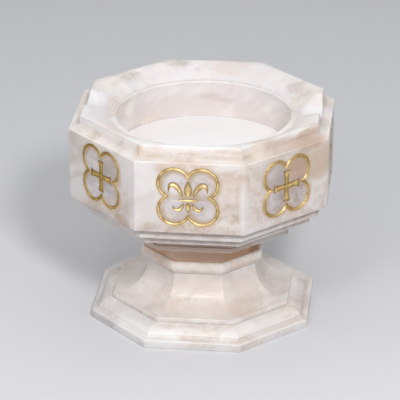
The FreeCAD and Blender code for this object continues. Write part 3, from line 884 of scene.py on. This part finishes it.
BOWL_BED = (0.25, 0.5, 0.35, 0.02, 0.33, 0.09)     # turn and shift of the block's pattern
bowl_stains_and_painted_light = [
    # warm brown on the seat fillet under the front of the bowl: painted shade
    ((0, -128, 140), (150, 60, 11), (216, 192, 172), 0.9, 0.1),
    ((0, 120, 288), (210, 110, 44), (232, 228, 231), 0.75, 0.0),
    ((0, 90, 250), (190, 100, 42), (218, 208, 206), 0.85, 0.0),
    ((-150, -20, 304), (40, 110, 12), (236, 233, 238), 0.8, 0.0),
    ((0, -153, 309), (140, 20, 7), (247, 247, 249), 0.9, 0.0),
    ((-8, -172, 296), (56, 14, 8), (214, 197, 185), 0.9, 0.4),
    ((50, -172, 296), (44, 14, 9), (248, 244, 242), 0.95, 0.1),
    ((-60, -172, 294), (30, 12, 5), (222, 206, 196), 0.8, 0.2),
    ((61, -178, 221), (30, 20, 22), (200, 176, 156), 0.8, 0.5),
    ((-52, -178, 214), (24, 14, 34), (232, 226, 223), 0.85, 0.0),
    ((64, -178, 262), (36, 20, 36), (220, 196, 178), 0.7, 0.5),
    ((1, -178, 196), (90, 12, 11), (206, 186, 170), 0.8, 0.5),
    ((74, -178, 230), (9, 12, 50), (240, 236, 236), 0.8, 0.2),
    ((48, -178, 287), (44, 10, 7), (242, 238, 238), 0.9, 0.1),
    ((-39, -178, 281), (14, 12, 14), (218, 184, 154), 0.7, 0.3),
    ((-5, -178, 288), (60, 10, 6), (222, 196, 174), 0.6, 0.4),
    ((178, -84, 262), (40, 34, 46), (214, 190, 168), 0.8, 0.1),
    ((141, -111, 264), (13, 13, 13), (208, 186, 168), 0.8, 0.0),
    ((164, -84, 302), (34, 30, 14), (214, 194, 178), 0.8, 0.3),
    # white on the right gouge: painted highlight where light falls across it
    ((154, 12, 299), (24, 38, 11), (246, 244, 248), 0.9, 0.0),
    # white on the left gouge: painted highlight on its lit slope
    ((-156, 10, 303), (24, 26, 10), (248, 246, 250), 0.8, 0.0),
    ((116, -124, 299), (76, 76, 15), (212, 196, 186), 0.95, 0.1),
    ((140, 20, 306), (40, 90, 8), (226, 218, 216), 0.7, 0.2),
    ((92, -156, 300), (30, 26, 12), (240, 228, 218), 0.9, 0.1),
    ((152, -96, 299), (30, 34, 14), (198, 174, 158), 0.9, 0.1),
    ((-120, -122, 298), (80, 76, 12), (244, 240, 238), 0.9, 0.1),
    ((-140, -103, 297), (14, 14, 9), (210, 186, 166), 0.7, 0.8),
    ((-104, -136, 299), (14, 12, 9), (210, 186, 166), 0.7, 0.8),
    ((-72, -168, 302), (14, 14, 10), (216, 190, 156), 0.9, 0.3),
    ((-167, -85, 264), (22, 22, 34), (216, 202, 194), 0.7, 0.4),
    ((-94, -158, 193), (24, 20, 10), (196, 170, 148), 0.8, 0.4),
    ((-146, -106, 192), (26, 26, 10), (210, 186, 166), 0.6, 0.4),
    ((-136, 100, 306), (36, 24, 9), (198, 194, 184), 0.9, 0.6),
    ((-62, 154, 307), (36, 18, 9), (198, 194, 184), 1.0, 0.6),
    ((-24, 148, 302), (6, 26, 8), (208, 200, 196), 0.35, 0.3),
    ((19, 146, 304), (34, 24, 10), (226, 213, 208), 0.8, 0.3),
    ((128, 82, 303), (24, 22, 8), (206, 190, 184), 0.7, 0.3),
    ((140, 56, 303), (26, 12, 8), (208, 190, 182), 0.7, 0.3),
    ((-6, 124, 269), (20, 12, 5), (204, 188, 182), 0.5, 0.2),
    ((18, 123, 263), (22, 12, 5), (204, 188, 182), 0.5, 0.2),
]
bowl_stone = alabaster("bowl_alabaster", [(240, 235, 232), (227, 208, 195), (210, 203, 201)],
                       BOWL_BED, stains_and_shading=bowl_stains_and_painted_light)
field_stains = [
    ((126, -126, 250), (60, 60, 60), (188, 172, 166), 0.8, 0.2),
    ((140, -112, 264), (20, 20, 20), (196, 168, 146), 0.9, 0.0),
    ((134, -118, 226), (40, 40, 24), (174, 158, 150), 0.7, 0.7),
    ((-2, -178, 222), (50, 12, 24), (206, 192, 186), 0.6, 0.7),
    ((22, -178, 262), (26, 12, 18), (210, 190, 176), 0.6, 0.6),
    ((-128, -124, 240), (50, 50, 44), (198, 193, 194), 0.6, 0.7),
    ((-113, -139, 262), (20, 20, 20), (194, 182, 172), 0.8, 0.2),
]
bowl_field = alabaster("bowl_field", [(226, 220, 220), (208, 190, 180), (190, 184, 186)],
                       BOWL_BED, stains_and_shading=bowl_stains_and_painted_light + field_stains, gloss=0.42)


def tinge(material, colour, depth):
    """Size that has crept into the stone on both sides of the grooves.

    Folded on the axes, each face has one lobe: with across the least of x, y and
    |x - y| / sqrt 2 of the folded place, and rise |z - the devices' height|, the distance
    from the groove is |distance from the lobe's centre - its radius|. The basin has none.
    """
    reach, full = 9.0, 1.5        # how far it fades out and how far it is full, mm
    tree = material.node_tree
    colour_in = tree.nodes["Principled BSDF"].inputs["Base Color"]
    plain = colour_in.links[0].from_socket
    here = add(tree, "TexCoord").outputs["Object"]
    folded = maths(tree, "ABSOLUTE", here, kind="VectorMath")
    x, y, _ = add(tree, "SeparateXYZ", Vector=folded).outputs
    height = add(tree, "SeparateXYZ", Vector=here).outputs[2]
    slanting = times(tree, maths(tree, "SUBTRACT", x, y), math.sqrt(0.5))
    outward = times(tree, maths(tree, "ADD", x, y), math.sqrt(0.5))
    across = maths(tree, "MINIMUM", x, y)
    across = maths(tree, "MINIMUM", across, maths(tree, "ABSOLUTE", slanting))
    rise = maths(tree, "ABSOLUTE", maths(tree, "SUBTRACT", height, DEVICE_HEIGHT * MM))
    beside = maths(tree, "SUBTRACT", across, LOBE_OFFSET * MM)
    above = maths(tree, "SUBTRACT", rise, LOBE_OFFSET * MM)
    square = maths(tree, "ADD", times(tree, beside, beside), times(tree, above, above))
    away = maths(tree, "SUBTRACT", maths(tree, "POWER", square, 0.5), LOBE_RADIUS * MM)
    near = ramp(tree, maths(tree, "ABSOLUTE", away), reach * MM, full * MM, 0, depth)
    outer = maths(tree, "MAXIMUM", maths(tree, "MAXIMUM", x, y), outward)
    on_face = ramp(tree, outer, (body_half - 8) * MM, (body_half - 4) * MM)
    patchy = ramp(tree, noise(tree, here, 60.0, 3.0), 0.35, 0.6, 0.45, 1.0)
    share = times(tree, times(tree, near, on_face), patchy)
    tree.links.new(blend(tree, share, plain, colour), colour_in)


tinge(bowl_stone, (206, 182, 148), 0.9)
tinge(bowl_field, (190, 166, 130), 0.85)


def worn_and_shaded_gilding():
    """Gold leaf on brown size: the leaf is whole in the bottom of a cut and rubbed away to
    the size at its edges, and that darker edge is also painted shade along the lips of the
    cut. It is painted darker towards -X, and a little towards +X, as shade on those sides."""
    material, tree, shader, here = new_material("worn_and_shaded_gilding")
    patch = noise(tree, here, 150.0, 5.0, 0.65)
    grain = noise(tree, here, 900.0, 3.0, 0.5)
    side = add(tree, "SeparateXYZ", Vector=here).outputs[0]
    # painted shade: the gilding darkens towards -X and a little towards +X
    left, right = ramp(tree, side, -0.06, -0.13), ramp(tree, side, 0.07, 0.11, 0, 0.5)
    darkening = maths(tree, "ADD", left, right)
    leaf = blend(tree, darkening, (236, 216, 168), (200, 164, 80))
    dull = blend(tree, darkening, (198, 168, 108), (166, 136, 62))
    size = blend(tree, darkening, (170, 140, 90), (140, 114, 58))
    # size at the edges of a cut: rubbed leaf, and painted shade along its lips
    bare_and_edge_shade = ramp(tree, maths(tree, "MULTIPLY_ADD", patch, -0.9, wear_and_shading_share(tree)), 0.18, -0.24)
    colour = blend(tree, bare_and_edge_shade, blend(tree, ramp(tree, patch, 0.40, 0.66), leaf, dull), size)
    dress(tree, shader, colour, ramp(tree, patch, 0.3, 0.7, 0.42, 0.6), grain, 0.25, 0.0003)
    shader.inputs["Metallic"].default_value = 0.45
    return material


bowl = make_piece("bowl_stone", np.concatenate(bowl_points), bowl_faces,
                  [bowl_stone, bowl_field, worn_and_shaded_gilding()], bowl_choice,
                  np.concatenate(bowl_wear_and_shading))
rest_on(bowl, "bowl_alabaster", "bowl")

# === Basin floor: a white marble disc bedded in white cement. It covers the upper nut and is
# pointed round its edge with the same cement.


def white_stone(name, ground, speck, gloss):
    """Fine white marble or cement: nearly even, faintly clouded, with a fine grain."""
    material, tree, shader, here = new_material(name)
    cloud = noise(tree, here, 24.0)
    grain = noise(tree, here, 420.0, 3.0, 0.5)
    colour = blend(tree, ramp(tree, cloud, 0.45, 0.8, 0, 0.5), ground, speck)
    dull = ramp(tree, cloud, 0.3, 0.7, gloss, gloss + 0.15)
    dress(tree, shader, colour, dull, grain, 0.1, 0.0003)
    return material


white_marble = white_stone("white_marble", (254, 254, 255), (246, 246, 248), 0.3)
white_cement = white_stone("white_cement", (232, 229, 222), (205, 200, 190), 0.7)
disc_radius, disc_bottom, disc_top = extent(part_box("floor_disc"))
disc_profile = np.array([
    (0, disc_bottom), (disc_radius, disc_bottom), (disc_radius, disc_top - 0.8),
    (disc_radius - 0.25, disc_top - 0.25), (disc_radius - 0.8, disc_top), (0, disc_top)])
disc_rows = turned_rows(disc_profile[:, :1], disc_profile[:, 1], 180)
disc = make_shell("floor_disc_marble", disc_rows, white_marble, last=-1)
rest_on(disc, "white_marble", "floor_disc")
give(white_cement, "floor_bed")

# === Stage: a plain pale floor under soft studio light, seen from in front and above.

AZIMUTH, ELEVATION, ROLL = map(math.radians, (-6.28, 24.15, -0.11))
DISTANCE = 3.161              # from the aim point, metres
AIM = Vector((0, 0, 0.1617))
SHIFT = (-0.00534, -0.00214)  # the camera stands this far right of and above the aim line
LENS, SENSOR = 201.15, 36.0   # mm

ahead = Vector((math.sin(AZIMUTH) * math.cos(ELEVATION), math.cos(AZIMUTH) * math.cos(ELEVATION),
                -math.sin(ELEVATION)))
level = Vector((math.cos(AZIMUTH), -math.sin(AZIMUTH), 0))
upright = level.cross(ahead)
across = level * math.cos(ROLL) + upright * math.sin(ROLL)
above = upright * math.cos(ROLL) - level * math.sin(ROLL)
stand = AIM - ahead * DISTANCE + level * SHIFT[0] + upright * SHIFT[1]
lens = bpy.data.cameras.new("camera")
lens.lens, lens.sensor_width, lens.sensor_fit = LENS, SENSOR, "HORIZONTAL"
lens.clip_end = 50.0
camera = bpy.data.objects.new("camera", lens)
turned_to = Matrix((across, above, -ahead)).transposed().to_4x4()
camera.matrix_world = Matrix.Translation(stand) @ turned_to
scene.collection.objects.link(camera)
scene.camera = camera

LAMP_AIM = Vector((0, 0, 0.2))
for name, place, size, power in (         # square and soft: place and size in m, power in W
        ("key", (0.847, -2.241, 2.005), 0.45, 45),
        ("second", (-0.886, -2.308, 1.9), 0.8, 13),
        ("overhead", (0.2, -0.2, 2.8), 1.6, 6),
        ("softbox", (-0.3, -2.0, 2.4), 0.35, 3.8),
        ("left", (-2.4, -0.3, 1.4), 1.0, 4),
        ("back", (0.0, 2.0, 2.2), 1.0, 2.5)):
    light = bpy.data.lights.new(name, "AREA")
    light.size, light.energy = size, power
    lamp = bpy.data.objects.new(name, light)
    turned_to = (LAMP_AIM - Vector(place)).to_track_quat("-Z", "Y").to_matrix().to_4x4()
    lamp.matrix_world = Matrix.Translation(place) @ turned_to
    scene.collection.objects.link(lamp)


def looked_at(tree):
    """1 for what the camera sees, also in a shine, and 0 for stray light, which is kept dimmer."""
    rays = add(tree, "LightPath").outputs
    direct = maths(tree, "MAXIMUM", rays["Is Camera Ray"], rays["Is Glossy Ray"])
    return maths(tree, "MAXIMUM", direct, rays["Is Transmission Ray"])


floor_mesh = bpy.data.meshes.new("floor")
floor_mesh.from_pydata([(-8, -8, 0), (8, -8, 0), (8, 8, 0), (-8, 8, 0)], [], [(0, 1, 2, 3)])
floor = bpy.data.objects.new("floor", floor_mesh)
scene.collection.objects.link(floor)
floor_material, tree, shader, _ = new_material("pale_floor")
tree.links.new(blend(tree, looked_at(tree), (156, 153, 158), (225, 226, 230)),
               shader.inputs["Base Color"])
shader.inputs["Roughness"].default_value = 0.8
floor_mesh.materials.append(floor_material)

world = bpy.data.worlds.new("studio")
world.use_nodes = True
scene.world = world
tree = world.node_tree
sky = tree.nodes["Background"]
strength = add(tree, "MapRange", Value=looked_at(tree), To_Min=0.36, To_Max=0.85)
tree.links.new(strength.outputs["Result"], sky.inputs["Strength"])
sky.inputs["Color"].default_value = (1, 1, 1, 1)
scene.view_settings.view_transform = "Standard"
